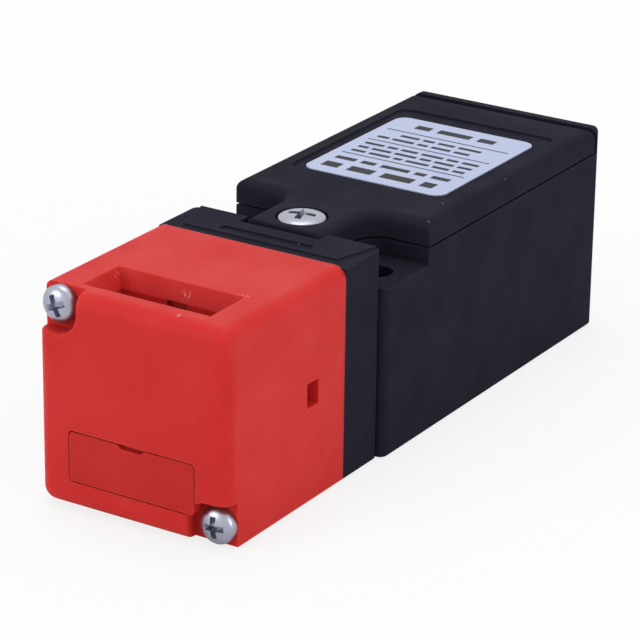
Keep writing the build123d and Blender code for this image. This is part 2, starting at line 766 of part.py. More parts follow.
# Housing: a deep box with two mounting pockets at the front and the conduit entry at the rear
with BuildPart() as housing:
    with BuildSketch(level(0)):
        with Locations((0, body_middle)):
            RectangleRounded(body_width, body_length, body_corner)
    extrude(amount=mount_floor)
    fillet(housing.faces().sort_by(Axis.Z)[0].edges(), foot_round)
    with BuildSketch(level(mount_floor)):
        add(cover_outline(body_front, body_rear, body_corner))
    extrude(amount=parting_height - mount_floor)
    with BuildSketch(level(parting_height)):
        with Locations((0, body_middle)):
            RectangleRounded(body_width, body_length, body_corner)
        with Locations((0, body_rear - rear_lip / 2)):
            Rectangle(body_width, rear_lip, mode=Mode.INTERSECT)
    extrude(amount=body_height - parting_height)
    with BuildSketch(level(body_floor)):
        with Locations((0, cavity_middle)):
            RectangleRounded(2 * cavity_half, cavity_length, cavity_round)
    extrude(amount=parting_height - body_floor, mode=Mode.SUBTRACT)
    with BuildSketch(level(parting_height - gasket_depth)):
        with Locations((0, cavity_middle)):
            rebate_width = 2 * (cavity_half + gasket_width)
            RectangleRounded(rebate_width, cavity_length + 2 * gasket_width, cavity_round + gasket_width)
    extrude(amount=gasket_depth, mode=Mode.SUBTRACT)
    with BuildSketch(level(body_floor)):
        for side in (-1, 1):
            for y in (block_front + block_length / 4, block_rear - block_length / 4):
                with Locations((side * (cavity_half - locating_rib / 2), y)):
                    Rectangle(locating_rib, locating_rib_width)
    extrude(amount=deck_z - body_floor)
    with BuildSketch(across(cavity_front)):
        Circle(nose_bore_radius)
    extrude(amount=cavity_front - body_front, mode=Mode.SUBTRACT)
    with BuildSketch(level(0)):
        with Locations((-mount_spacing / 2, 0), (mount_spacing / 2, 0)):
            SlotOverall(mount_slot_length, mount_slot_width)
    extrude(amount=mount_floor, mode=Mode.SUBTRACT)
    with BuildSketch(across(body_front + collar_screw_grip + screw_tip)):
        with Locations(*collar_screw_points):
            Circle(small_screw_radius + thread_gap)
    extrude(amount=collar_screw_grip + screw_tip, mode=Mode.SUBTRACT)
    with BuildSketch(level(cover_seat - cover_screw_length - slip_gap)):
        with Locations((0, cover_screw_y)):
            Circle(small_screw_radius + thread_gap)
    extrude(amount=parting_height - cover_seat + cover_screw_length + slip_gap, mode=Mode.SUBTRACT)
    with BuildSketch(level(parting_height - retainer_depth)):
        with Locations((0, cover_screw_y)):
            Circle(retainer_radius + slip_gap)
    extrude(amount=retainer_depth, mode=Mode.SUBTRACT)
    with BuildSketch(across(body_rear)):
        Circle(entry_radius)
    extrude(amount=entry_wall, mode=Mode.SUBTRACT)
    round_edges = housing.edges().filter_by(GeomType.CIRCLE)
    entry_edges = round_edges.filter_by(lambda e: abs(e.radius - entry_radius) < slip_gap)
    chamfer(entry_edges.sort_by(Axis.Y)[-1], entry_chamfer)
    with BuildSketch(level(tab_top + slip_gap)):
        with Locations((0, cover_rear + (rear_lip_gap + tab_grip + slip_gap) / 2)):
            Rectangle(tab_width + 2 * slip_gap, rear_lip_gap + tab_grip + slip_gap)
    extrude(amount=-tab_thickness - 2 * slip_gap, mode=Mode.SUBTRACT)
    with BuildSketch(across(body_rear)):
        with Locations((0, axis_z - cover_edge_round)):
            Rectangle(body_width, 2 * cover_edge_round)
        with Locations((0, axis_z - 2 * cover_edge_round)):
            RectangleRounded(body_width, 4 * cover_edge_round, cover_edge_round, mode=Mode.SUBTRACT)
    extrude(amount=rear_lip, mode=Mode.SUBTRACT)
housing.part.label = "housing"
export_step(housing.part, "parts/housing.step")

# Cover: follows the outline of the housing's top, with a locating skirt and a label panel
with BuildPart() as cover:
    with BuildSketch(level(cover_bottom)):
        add(cover_outline(neck_front, cover_rear, loose_gap))
    extrude(amount=body_height - cover_bottom)
    rim = cover.faces().sort_by(Axis.Z)[-1].edges().filter_by(lambda e: neck_front + slip_gap < e.center().Y)
    fillet(rim.filter_by(lambda e: e.center().Y < cover_rear - loose_gap), cover_edge_round)
    fillet(cover.edges().filter_by(Axis.Z).group_by(Axis.Y)[0], neck_round)
    with BuildSketch(level(cover_bottom)):
        with Locations((0, neck_front - foot_reach / 2 + loose_gap)):
            Rectangle(2 * (neck_half_width - neck_round), foot_reach + 2 * loose_gap)
    extrude(amount=body_height - foot_drop - cover_edge_round - cover_bottom)
    with BuildSketch(level(cover_bottom)):
        with Locations((0, cavity_middle)):
            skirt_width = 2 * (cavity_half - slip_gap)
            RectangleRounded(skirt_width, cavity_length - 2 * slip_gap, cavity_round - slip_gap)
    extrude(amount=-skirt_depth)
    inset = slip_gap + skirt_wall
    with BuildSketch(level(cover_bottom - skirt_depth)):
        with Locations((0, cavity_middle)):
            RectangleRounded(2 * (cavity_half - inset), cavity_length - 2 * inset, cavity_round - slip_gap)
    extrude(amount=cover_ceiling - cover_bottom + skirt_depth, mode=Mode.SUBTRACT)
    with BuildSketch(level(label_seat)):
        with Locations((0, (panel_front + panel_rear) / 2)):
            RectangleRounded(panel_width, panel_rear - panel_front, panel_round)
    extrude(amount=panel_depth, mode=Mode.SUBTRACT)
    with BuildSketch(level(cover_seat)):
        with Locations((0, cover_screw_y)):
            Circle(cover_head_radius + loose_gap)
    extrude(amount=cover_head_seat, mode=Mode.SUBTRACT)
    with BuildSketch(level(cover_bottom)):
        with Locations((0, cover_screw_y)):
            Circle(small_screw_radius + screw_clearance)
    extrude(amount=cover_seat - cover_bottom, mode=Mode.SUBTRACT)
    with BuildSketch(level(tab_top)):
        with Locations((0, cover_rear + (rear_lip_gap + tab_grip - loose_gap) / 2)):
            Rectangle(tab_width, rear_lip_gap + tab_grip + loose_gap)
    extrude(amount=-tab_thickness)
cover.part.label = "cover"
export_step(cover.part, "parts/cover.step")

# Rubber gasket in the housing's rebate, pressed by the cover
with BuildPart() as cover_gasket:
    with BuildSketch(level(parting_height - gasket_depth)):
        with Locations((0, cavity_middle)):
            outer = gasket_width - slip_gap
            RectangleRounded(2 * (cavity_half + outer), cavity_length + 2 * outer, cavity_round + outer)
            RectangleRounded(2 * cavity_half, cavity_length, cavity_round, mode=Mode.SUBTRACT)
    extrude(amount=gasket_depth + parting_gap)
cover_gasket.part.label = "cover_gasket"
export_step(cover_gasket.part, "parts/cover_gasket.step")

# Cover screw, and the washer under the cover that keeps it from falling out
with BuildPart() as cover_screw:
    with Locations((0, cover_screw_y, cover_seat)):
        head_size = (cover_head_radius, cover_head_height, cover_head_crown)
        add(pan_screw(*head_size, small_screw_radius, cover_screw_length))
cover_screw.part.label = "cover_screw"
export_step(cover_screw.part, "parts/cover_screw.step")

with BuildPart() as screw_retainer:
    with BuildSketch(level(parting_height - retainer_depth)):
        with Locations((0, cover_screw_y)):
            Circle(retainer_radius)
            Circle(small_screw_radius + thread_gap, mode=Mode.SUBTRACT)
    extrude(amount=retainer_depth + parting_gap)
screw_retainer.part.label = "screw_retainer"
export_step(screw_retainer.part, "parts/screw_retainer.step")

# Bare label plate on the cover's panel
with BuildPart() as label_plate:
    with BuildSketch(level(label_seat)):
        with Locations((0, (label_front + label_rear) / 2)):
            RectangleRounded(label_width, label_rear - label_front, label_round)
    extrude(amount=label_thickness)
label_plate.part.label = "label_plate"
export_step(label_plate.part, "parts/label_plate.step")

# Base of the contact block: a hollow bed, four terminal towers and the wall of the return spring
with BuildPart() as contact_base:
    with BuildSketch(level(body_floor)):
        with Locations((0, block_middle)):
            Rectangle(2 * block_half, block_length)
    extrude(amount=deck_z - body_floor)
    with BuildSketch(level(body_floor)):
        with Locations((0, block_middle)):
            Rectangle(2 * (block_half - block_wall), block_length - 2 * block_wall)
    extrude(amount=deck_z - body_floor - block_wall, mode=Mode.SUBTRACT)
    with BuildSketch(level(deck_z)):
        for side in (-1, 1):
            for step in contact_steps:
                with Locations((side * (tower_inner + block_half) / 2, tower_middle + step)):
                    Rectangle(block_half - tower_inner, tower_length)
    extrude(amount=pad_seat - deck_z)
    with BuildSketch(level(body_floor)):
        with Locations((0, block_middle)):
            RectangleRounded(2 * block_half, block_length, block_round)
    extrude(amount=pad_seat - body_floor, mode=Mode.INTERSECT)
    with BuildSketch(level(deck_z)):
        with Locations((0, spring_wall_y + spring_wall / 2)):
            Rectangle(spring_wall_width, spring_wall)
    extrude(amount=carrier_height + slip_gap)
    with BuildSketch(across(spring_wall_y)):
        Circle(spring_pin_radius)
    extrude(amount=spring_pin_length)
    with BuildSketch(level(pad_top + clamp_thickness - terminal_screw_length - slip_gap)):
        with Locations(*terminal_points):
            Circle(small_screw_radius + thread_gap)
    extrude(amount=terminal_screw_length, mode=Mode.SUBTRACT)
contact_base.part.label = "contact_base"
export_step(contact_base.part, "parts/contact_base.step")

# Four fixed contacts: a terminal pad on the tower, a strip down its back and a contact tip
with BuildPart() as fixed_contacts:
    for side in (-1, 1):
        for step in contact_steps:
            with BuildSketch(level(pad_seat)):
                with Locations((side * terminal_x, tower_middle + step + strip_thickness / 2)):
                    Rectangle(pad_width, tower_length + strip_thickness)
            extrude(amount=strip_thickness)
            with BuildSketch(level(deck_z)):
                strip_x = side * (tower_inner + strip_width / 2)
                with Locations((strip_x, strip_y + step + strip_thickness / 2)):
                    Rectangle(strip_width, strip_thickness)
            extrude(amount=pad_top - deck_z)
            with BuildSketch(across(fixed_tip_y + step)):
                with Locations((side * tip_spacing / 2, 0)):
                    Circle(tip_radius)
            extrude(amount=tip_thickness)
    with BuildSketch(level(pad_seat)):
        with Locations(*terminal_points):
            Circle(small_screw_radius + screw_clearance)
    extrude(amount=strip_thickness, mode=Mode.SUBTRACT)
fixed_contacts.part.label = "fixed_contacts"
export_step(fixed_contacts.part, "parts/fixed_contacts.step")

# Terminal clamps and screws
with BuildPart() as terminal_clamps:
    with BuildSketch(level(pad_top)):
        with Locations(*terminal_points):
            Rectangle(clamp_width, clamp_length)
            Circle(small_screw_radius + screw_clearance, mode=Mode.SUBTRACT)
    extrude(amount=clamp_thickness)
terminal_clamps.part.label = "terminal_clamps"
export_step(terminal_clamps.part, "parts/terminal_clamps.step")

with BuildPart() as terminal_screws:
    for x, y in terminal_points:
        with Locations((x, y, pad_top + clamp_thickness)):
            head_size = (terminal_head_radius, terminal_head_height)
            add(cheese_screw(*head_size, small_screw_radius, terminal_screw_length))
terminal_screws.part.label = "terminal_screws"
export_step(terminal_screws.part, "parts/terminal_screws.step")

# Contact carrier: a nose that the plunger presses and a bar with a window for each bridge
with BuildPart() as contact_carrier:
    with BuildSketch(across(carrier_rear)):
        Rectangle(carrier_width, carrier_height)
    extrude(amount=carrier_rear - carrier_front)
    with BuildSketch(across(carrier_front)):
        Circle(nose_radius)
    extrude(amount=carrier_front - nose_front)
    chamfer(contact_carrier.faces().sort_by(Axis.Y)[0].edges(), loose_gap)
    for step in contact_steps:
        with BuildSketch(across(bridge_y + carrier_window_depth + step)):
            Rectangle(carrier_width, carrier_window_height)
        extrude(amount=carrier_window_depth + running_gap, mode=Mode.SUBTRACT)
contact_carrier.part.label = "contact_carrier"
export_step(contact_carrier.part, "parts/contact_carrier.step")

# Two contact bridges, each with a tip at both ends, in the carrier's windows
with BuildPart() as contact_bridges:
    for step in contact_steps:
        with BuildSketch(across(bridge_y + bridge_thickness + step)):
            RectangleRounded(bridge_length, bridge_height, plug_round)
        extrude(amount=bridge_thickness)
        with BuildSketch(across(bridge_y + step)):
            with Locations((-tip_spacing / 2, 0), (tip_spacing / 2, 0)):
                Circle(tip_radius)
        extrude(amount=tip_thickness)
contact_bridges.part.label = "contact_bridges"
export_step(contact_bridges.part, "parts/contact_bridges.step")

# Two springs that press the bridges forward in the windows
with BuildPart() as contact_spring_front:
    with Locations(Location((0, contact_spring_y, axis_z), (-90, 0, 0))):
        add(coil_spring(contact_spring_length, contact_coil_radius, contact_coil_wire, contact_coil_turns))
contact_spring_front.part.label = "contact_spring_front"
export_step(contact_spring_front.part, "parts/contact_spring_front.step")

with BuildPart() as contact_spring_rear:
    with Locations(Location((0, contact_spring_y + contact_pitch, axis_z), (-90, 0, 0))):
        add(coil_spring(contact_spring_length, contact_coil_radius, contact_coil_wire, contact_coil_turns))
contact_spring_rear.part.label = "contact_spring_rear"
export_step(contact_spring_rear.part, "parts/contact_spring_rear.step")

# Return spring between the carrier and the wall of the base
with BuildPart() as return_spring:
    with Locations(Location((0, carrier_rear + running_gap, axis_z), (-90, 0, 0))):
        add(
            coil_spring(
                return_spring_length - 2 * running_gap,
                return_spring_radius,
                return_spring_wire,
                return_spring_turns,
            )
        )
return_spring.part.label = "return_spring"
export_step(return_spring.part, "parts/return_spring.step")

# Lid of the contact block: a strip with pairs of legs that stand on the bed
with BuildPart() as contact_lid:
    with BuildSketch(level(lid_bottom)):
        with Locations((0, block_middle)):
            Rectangle(2 * lid_half, block_length)
    extrude(amount=lid_thickness)
    with BuildSketch(level(deck_z)):
        for side in (-1, 1):
            for y in (tower_middle, tower_middle + contact_pitch, carrier_rear + lid_leg_length / 2):
                with Locations((side * (lid_inner + lid_leg / 2), y)):
                    Rectangle(lid_leg, lid_leg_length)
    extrude(amount=lid_bottom - deck_z)
contact_lid.part.label = "contact_lid"
export_step(contact_lid.part, "parts/contact_lid.step")
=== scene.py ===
# %% [markdown]
# # A tongue interlock switch
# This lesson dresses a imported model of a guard-door switch: a black moulded casing with a
# screwed cover, and a red head with two slots for a steel tongue. The model's pieces keep
# their places and sizes. What Blender adds is the finish of each material, the screws and
# springs in full roundness, the print on the label and the thread of the conduit entry.

import json
import math

import bmesh
import bpy
from mathutils import Matrix, Vector


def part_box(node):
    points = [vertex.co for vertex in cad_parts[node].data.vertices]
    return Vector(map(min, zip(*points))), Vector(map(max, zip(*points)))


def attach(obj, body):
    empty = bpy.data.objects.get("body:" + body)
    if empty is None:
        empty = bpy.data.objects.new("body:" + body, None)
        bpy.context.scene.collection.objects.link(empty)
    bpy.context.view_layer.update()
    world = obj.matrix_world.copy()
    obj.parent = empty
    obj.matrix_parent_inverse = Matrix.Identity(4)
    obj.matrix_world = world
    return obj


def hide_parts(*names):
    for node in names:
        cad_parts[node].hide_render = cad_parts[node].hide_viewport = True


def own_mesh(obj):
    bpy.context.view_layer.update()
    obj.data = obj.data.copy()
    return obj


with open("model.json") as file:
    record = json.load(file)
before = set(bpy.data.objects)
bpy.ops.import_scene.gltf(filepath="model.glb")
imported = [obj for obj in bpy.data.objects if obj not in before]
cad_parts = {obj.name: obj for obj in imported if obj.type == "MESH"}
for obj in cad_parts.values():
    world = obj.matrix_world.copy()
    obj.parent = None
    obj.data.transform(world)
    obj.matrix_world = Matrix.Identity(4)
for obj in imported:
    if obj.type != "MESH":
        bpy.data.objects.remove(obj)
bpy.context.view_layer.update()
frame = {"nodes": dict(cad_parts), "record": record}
nodes = frame["nodes"]

# %% [markdown]
# ## Camera
# The photograph is a product shot from the front right, taken from about 0.43 m with a long
# lens. Its place was found by fitting the switch's corners to the picture, so it is given
# here as a point and three directions: right, up and back towards the lens. A long lens
# keeps the edges almost parallel, which is why catalogues use one.

# %% Camera
MM = 0.001
camera_data = bpy.data.cameras.new("product_camera")
camera_data.sensor_width = 36
camera_data.lens = 182.225
camera_data.clip_start = 0.01
camera_data.clip_end = 20
camera = bpy.data.objects.new("product_camera", camera_data)
bpy.context.scene.collection.objects.link(camera)
camera_place = Vector((0.211288, -0.333975, 0.172891))
camera_right = Vector((0.844503, 0.535394, 0.012919))
camera_up = Vector((-0.209354, 0.307828, 0.928123))
camera_back = Vector((0.492935, -0.786508, 0.372049))
turn = Matrix((camera_right, camera_up, camera_back)).transposed().to_4x4()
camera.matrix_world = Matrix.Translation(camera_place) @ turn
bpy.context.scene.camera = camera
bpy.context.scene.view_settings.view_transform = "Standard"
print("camera distance in m:", round(camera_place.length, 3))

# %% [markdown]
# ## Helpers for materials
# Colours are picked as sRGB hex values, the way a colour picker shows them, while shaders
# work with linear light, so one function converts them. Another adds a node to a material,
# sets its values and joins its inputs, which keeps each recipe short. A third starts a
# material. A Mix node has sockets for several kinds of value, so the places of those that
# are used here have names.

# %% Colour and node helpers
MIX_SHARE, MIX_NUMBER_A, MIX_NUMBER_B, MIX_COLOUR_A, MIX_COLOUR_B = 0, 2, 3, 6, 7
MIX_COLOUR_OUT = 2
NOISE_LOW, NOISE_HIGH = 0.3, 0.7  # a noise pattern seldom leaves this range


def linear(hex_colour):
    """A colour such as "C83230", as the linear RGBA that shaders use."""
    channels = [int(hex_colour[i : i + 2], 16) / 255 for i in (0, 2, 4)]
    lit = [c / 12.92 if c <= 0.04045 else ((c + 0.055) / 1.055) ** 2.4 for c in channels]
    return (*lit, 1.0)


def add_node(tree, kind, settings=None, links=None):
    """Adds a node, sets its options and inputs, and joins outputs of other nodes to it."""
    node = tree.nodes.new("ShaderNode" + kind)
    for name, value in (settings or {}).items():
        if isinstance(name, str) and hasattr(node, name):
            setattr(node, name, value)
        else:
            node.inputs[name].default_value = value
    for name, socket in (links or {}).items():
        tree.links.new(socket, node.inputs[name])
    return node


def new_material(name):
    """Starts a material with a Principled shader; gives the material, its tree and the shader."""
    material = bpy.data.materials.new(name)
    material.use_nodes = True
    tree = material.node_tree
    tree.nodes.clear()
    shader = add_node(tree, "BsdfPrincipled")
    add_node(tree, "OutputMaterial", links={"Surface": shader.outputs["BSDF"]})
    return material, tree, shader


print("red of the head in linear light:", [round(c, 3) for c in linear("D53A36")])

# %% [markdown]
# ## Floor, backdrop and light
# The switch lies on a white sweep. The camera sees the world and most of the floor at a
# strength of 1, which is white, and the rest of the floor's colour is real light, so that
# the switch keeps a soft shadow. A plain, faintly cool room gives an even light. Three large
# softboxes add to it, as for a catalogue picture: one overhead, one by the lens on the left
# and one on the right.

# %% Floor and world
FLOOR_SIZE = 3.0
FLOOR_DROP = 0.15 * MM  # keeps the floor out of the plane of the mounting face
FLOOR_WHITE_SHARE = 0.8
WHITE = (1, 1, 1, 1)
ROOM_COLOUR = (0.92, 0.955, 1.0, 1)
ROOM_STRENGTH = 0.68

floor_mesh = bpy.data.meshes.new("white_sweep")
floor_builder = bmesh.new()
bmesh.ops.create_grid(floor_builder, x_segments=1, y_segments=1, size=FLOOR_SIZE)
floor_builder.to_mesh(floor_mesh)
floor_builder.free()
floor = bpy.data.objects.new("white_sweep", floor_mesh)
floor.location = (0, 0, -FLOOR_DROP)
bpy.context.scene.collection.objects.link(floor)

paper, paper_tree, paper_shader = new_material("white_paper_sweep")
paper_shader.inputs["Base Color"].default_value = linear("EDEDED")
paper_shader.inputs["Roughness"].default_value = 0.9
paper_shader.inputs["Specular IOR Level"].default_value = 0.1
seen = add_node(paper_tree, "LightPath")
glow = add_node(paper_tree, "Emission", {"Color": WHITE, "Strength": 1.0})
white_share = add_node(
    paper_tree, "Math", {"operation": "MULTIPLY", 1: FLOOR_WHITE_SHARE},
    {0: seen.outputs["Is Camera Ray"]},
)
paper_mix = add_node(
    paper_tree,
    "MixShader",
    links={
        0: white_share.outputs[0],
        1: paper_shader.outputs["BSDF"],
        2: glow.outputs["Emission"],
    },
)
paper_out = next(node for node in paper_tree.nodes if node.type == "OUTPUT_MATERIAL")
paper_tree.links.new(paper_mix.outputs["Shader"], paper_out.inputs["Surface"])
floor_mesh.materials.append(paper)

studio = bpy.data.worlds.new("white_studio")
studio.use_nodes = True
studio_tree = studio.node_tree
studio_tree.nodes.clear()
rays = add_node(studio_tree, "LightPath")
direct = add_node(
    studio_tree, "Math", {"operation": "MAXIMUM"},
    {0: rays.outputs["Is Camera Ray"], 1: rays.outputs["Is Glossy Ray"]},
)
shown = add_node(
    studio_tree, "Math", {"operation": "MAXIMUM"},
    {0: direct.outputs[0], 1: rays.outputs["Is Transmission Ray"]},
)
room = add_node(studio_tree, "Background", {"Color": ROOM_COLOUR, "Strength": ROOM_STRENGTH})
white = add_node(studio_tree, "Background", {"Color": WHITE, "Strength": 1.0})
studio_mix = add_node(
    studio_tree,
    "MixShader",
    links={0: shown.outputs[0], 1: room.outputs["Background"], 2: white.outputs["Background"]},
)
add_node(studio_tree, "OutputWorld", links={"Surface": studio_mix.outputs["Shader"]})
bpy.context.scene.world = studio
print("floor at z =", floor.location.z)

# %% Softboxes
LAMP_TARGET = Vector((0, 0.005, 0.015))  # near the middle of the switch, in metres


def softbox(name, place, size, power):
    """A square area lamp that faces the middle of the switch."""
    lamp_data = bpy.data.lights.new(name, "AREA")
    lamp_data.shape = "SQUARE"
    lamp_data.size = size
    lamp_data.energy = power
    lamp = bpy.data.objects.new(name, lamp_data)
    lamp.location = place
    facing = LAMP_TARGET - Vector(place)
    lamp.rotation_euler = facing.to_track_quat("-Z", "Y").to_euler()
    bpy.context.scene.collection.objects.link(lamp)


softbox("softbox_overhead", (-0.1, 0.1, 1.0), size=0.6, power=3.4)
softbox("softbox_front_left", (-0.55, -0.95, 0.45), size=0.45, power=3.4)
softbox("softbox_right", (1.05, -0.15, 0.4), size=0.5, power=3.1)

# %% [markdown]
# ## Moulded plastics
# The head is a red glass-filled polyamide and the casing is the same resin in black. Both
# come out of spark-eroded moulds, which leave a fine even grain with a soft gloss. Their
# recipe has four layers: the resin's colour, mottled by wide clouds and by the grain,
# lighter outer edges, which are a painted highlight, the grain as a bump, and small changes
# of roughness. The real grain is about 0.1 mm and too fine to show here, so it is drawn at
# 0.3 mm.

# %% Moulded plastic recipe
GRAIN = 0.3 * MM
GRAIN_DEPTH = 0.02 * MM
GRAIN_SHARE_OF_MOTTLE = 0.4
CLOUD = 7 * MM
# the lighter band on outer edges is a painted highlight: how wide it reaches and how much of its
# colour shows
HIGHLIGHT_EDGE_WIDTH = 0.35 * MM
EDGE_HIGHLIGHT_SHARE = 0.55
FLAT_LEAN, EDGE_LEAN = 0.995, 0.86  # cosines of how far a bevelled normal leans away
ROUGHNESS_CHANGE = 0.06


def painted_edge_highlight(tree):
    """A mask that is 1 on outer edges, for a painted highlight: a bevelled normal leans away from
    the true one there.
    """
    rounded = add_node(tree, "Bevel", {"samples": 4, "Radius": HIGHLIGHT_EDGE_WIDTH})
    true = add_node(tree, "NewGeometry")
    agreement = add_node(
        tree, "VectorMath", {"operation": "DOT_PRODUCT"},
        {0: rounded.outputs["Normal"], 1: true.outputs["Normal"]},
    )
    mask = add_node(
        tree,
        "MapRange",
        {"From Min": FLAT_LEAN, "From Max": EDGE_LEAN, "To Min": 0.0, "To Max": 1.0},
        {"Value": agreement.outputs["Value"]},
    )
    return mask.outputs["Result"]


def moulded_plastic(name, colour, cloud_colour, edge_highlight_colour, roughness, gloss, grain_strength):
    """A moulded plastic with a mottled colour, a painted highlight on its edges and a spark-eroded
    grain.
    """
    material, tree, shader = new_material(name)
    place = add_node(tree, "TexCoord").outputs["Object"]
    cloud = add_node(tree, "TexNoise", {"Scale": 1 / CLOUD, "Detail": 3.0}, {"Vector": place})
    grain = add_node(
        tree, "TexNoise", {"Scale": 1 / GRAIN, "Detail": 2.0, "Roughness": 0.6}, {"Vector": place}
    )
    mottle = add_node(
        tree, "Mix", {"data_type": "FLOAT", MIX_SHARE: GRAIN_SHARE_OF_MOTTLE},
        {MIX_NUMBER_A: cloud.outputs["Fac"], MIX_NUMBER_B: grain.outputs["Fac"]},
    )
    resin = add_node(
        tree,
        "Mix",
        {"data_type": "RGBA", MIX_COLOUR_A: linear(colour), MIX_COLOUR_B: linear(cloud_colour)},
        {MIX_SHARE: mottle.outputs[0]},
    )
    # outer edges are mixed towards a lighter colour: a painted highlight
    edge_highlight_share = add_node(
        tree, "Math", {"operation": "MULTIPLY", 1: EDGE_HIGHLIGHT_SHARE}, {0: painted_edge_highlight(tree)}
    )
    finished = add_node(
        tree, "Mix", {"data_type": "RGBA", MIX_COLOUR_B: linear(edge_highlight_colour)},
        {MIX_SHARE: edge_highlight_share.outputs[0], MIX_COLOUR_A: resin.outputs[MIX_COLOUR_OUT]},
    )
    bump = add_node(
        tree, "Bump", {"Strength": grain_strength, "Distance": GRAIN_DEPTH},
        {"Height": grain.outputs["Fac"]},
    )
    least, most = roughness - ROUGHNESS_CHANGE, roughness + ROUGHNESS_CHANGE
    matt = add_node(
        tree,
        "MapRange",
        {"From Min": NOISE_LOW, "From Max": NOISE_HIGH, "To Min": least, "To Max": most},
        {"Value": cloud.outputs["Fac"]},
    )
    shader.inputs["IOR"].default_value = 1.53
    shader.inputs["Specular IOR Level"].default_value = gloss
    tree.links.new(finished.outputs[MIX_COLOUR_OUT], shader.inputs["Base Color"])
    tree.links.new(matt.outputs["Result"], shader.inputs["Roughness"])
    tree.links.new(bump.outputs["Normal"], shader.inputs["Normal"])
    return material, tree, shader


print("the grain is drawn at", round(GRAIN / MM, 2), "mm")

# %% [markdown]
# ## Red head
# The plug of the front slot is given a red a little darker and duller than the head's.
# Light goes a millimetre or two into red polyamide before it comes out again, red light the
# deepest, so edges glow a little and shadows stay warm. The gloss is tinted too, because
# the light that the grain returns has passed through a skin of red resin.

# %% Red polyamide
LIGHT_DEPTH = 2 * MM
DEPTH_BY_COLOUR = (1.0, 0.3, 0.2)
WARM_SHEEN = (1.0, 0.8, 0.8, 1)

# the third colour of each red is the lighter one of a painted highlight on outer edges
red_polyamide, red_tree, red_shader = moulded_plastic(
    "red_moulded_polyamide", "D53A36", "B91F1E", "D93D36",
    roughness=0.47, gloss=0.085, grain_strength=1.0,
)
plug_polyamide, _, plug_shader = moulded_plastic(
    "red_moulded_polyamide_of_plug", "C93530", "B01E1C", "D23A34",
    roughness=0.5, gloss=0.085, grain_strength=1.0,
)
for translucent in (red_shader, plug_shader):
    translucent.inputs["Subsurface Weight"].default_value = 0.5
    translucent.inputs["Subsurface Radius"].default_value = DEPTH_BY_COLOUR
    translucent.inputs["Subsurface Scale"].default_value = LIGHT_DEPTH
    translucent.inputs["Specular Tint"].default_value = WARM_SHEEN
print("made", red_polyamide.name, plug_polyamide.name)

# %% [markdown]
# ## Dust
# Even a clean switch carries a few grains of dust, which show most on black. They are cells
# of a Voronoi pattern: only cells with a rare random colour are used, and only their
# centres, which leaves pale points up to about 0.2 mm wide, well apart.

# %% Dust
def dust_over(tree, shader, cell, rarity, grain_share, colour):
    """Scatters pale grains over a material's colour; rarity is the share of cells with one."""
    place = add_node(tree, "TexCoord").outputs["Object"]
    cells = add_node(tree, "TexVoronoi", {"Scale": 1 / cell}, {"Vector": place})
    chance = add_node(tree, "SeparateColor", links={0: cells.outputs["Color"]})
    chosen = add_node(
        tree, "Math", {"operation": "GREATER_THAN", 1: 1 - rarity}, {0: chance.outputs[0]}
    )
    centre = add_node(
        tree, "Math", {"operation": "LESS_THAN", 1: grain_share}, {0: cells.outputs["Distance"]}
    )
    grain = add_node(
        tree, "Math", {"operation": "MULTIPLY"}, {0: chosen.outputs[0], 1: centre.outputs[0]}
    )
    under = shader.inputs["Base Color"].links[0].from_socket
    dusty = add_node(
        tree, "Mix", {"data_type": "RGBA", MIX_COLOUR_B: linear(colour)},
        {MIX_SHARE: grain.outputs[0], MIX_COLOUR_A: under},
    )
    tree.links.new(dusty.outputs[MIX_COLOUR_OUT], shader.inputs["Base Color"])


dust_over(
    red_tree, red_shader, cell=0.8 * MM, rarity=0.012, grain_share=0.11, colour="E58A82"
)
print("dust on", red_polyamide.name)

# %% [markdown]
# ## Scuffs round the tongue slot
# A steel tongue has been tried in the top slot, so its funnel carries a few pale scratches.
# Each is a small ball of influence at a place read from the photograph, and inside it a fine
# noise picks the thin curls where the surface is really broken.

# %% Scuffs on the red head
CURL = 0.7 * MM
CURL_FROM, CURL_TO = 0.56, 0.62  # levels of the noise where a curl starts and shows in full
SCRATCH_STRENGTH = 0.7
CORE_SHARE = 0.3  # the share of a scuff's reach inside which nothing weakens it
scuff_places = [  # x, y, z and reach, in mm
    (-0.9, -29.9, 28.0, 0.7),
    (1.0, -30.0, 28.0, 1.0),
    (2.5, -29.9, 28.2, 0.7),
    (9.2, -29.1, 29.0, 1.1),
    (-9.3, -29.7, 28.2, 0.9),
    (-1.6, -31.0, 26.9, 0.6),
    (1.8, -30.9, 26.9, 0.6),
    (6.0, -38.4, 29.2, 0.5),
]
red_place = add_node(red_tree, "TexCoord").outputs["Object"]
spots = []
for x, y, z, reach in scuff_places:
    away = add_node(
        red_tree, "VectorMath", {"operation": "DISTANCE", 1: (x * MM, y * MM, z * MM)},
        {0: red_place},
    )
    spot = add_node(
        red_tree,
        "MapRange",
        {"From Min": reach * MM, "From Max": CORE_SHARE * reach * MM, "To Min": 0.0, "To Max": 1.0},
        {"Value": away.outputs["Value"]},
    )
    spots.append(spot.outputs[0])
scuffed = spots[0]
for spot in spots[1:]:
    scuffed = add_node(
        red_tree, "Math", {"operation": "MAXIMUM"}, {0: scuffed, 1: spot}
    ).outputs[0]
curls = add_node(
    red_tree, "TexNoise", {"Scale": 1 / CURL, "Detail": 4.0, "Distortion": 1.5},
    {"Vector": red_place},
)
thin_line = add_node(
    red_tree,
    "MapRange",
    {"From Min": CURL_FROM, "From Max": CURL_TO, "To Min": 0.0, "To Max": SCRATCH_STRENGTH},
    {"Value": curls.outputs["Fac"]},
)
scratch = add_node(
    red_tree, "Math", {"operation": "MULTIPLY"}, {0: scuffed, 1: thin_line.outputs[0]}
)
unscuffed = red_shader.inputs["Base Color"].links[0].from_socket
worn = add_node(
    red_tree, "Mix", {"data_type": "RGBA", MIX_COLOUR_B: linear("F2C0B8")},
    {MIX_SHARE: scratch.outputs[0], MIX_COLOUR_A: unscuffed},
)
red_tree.links.new(worn.outputs[MIX_COLOUR_OUT], red_shader.inputs["Base Color"])
print("scuffs:", len(scuff_places))

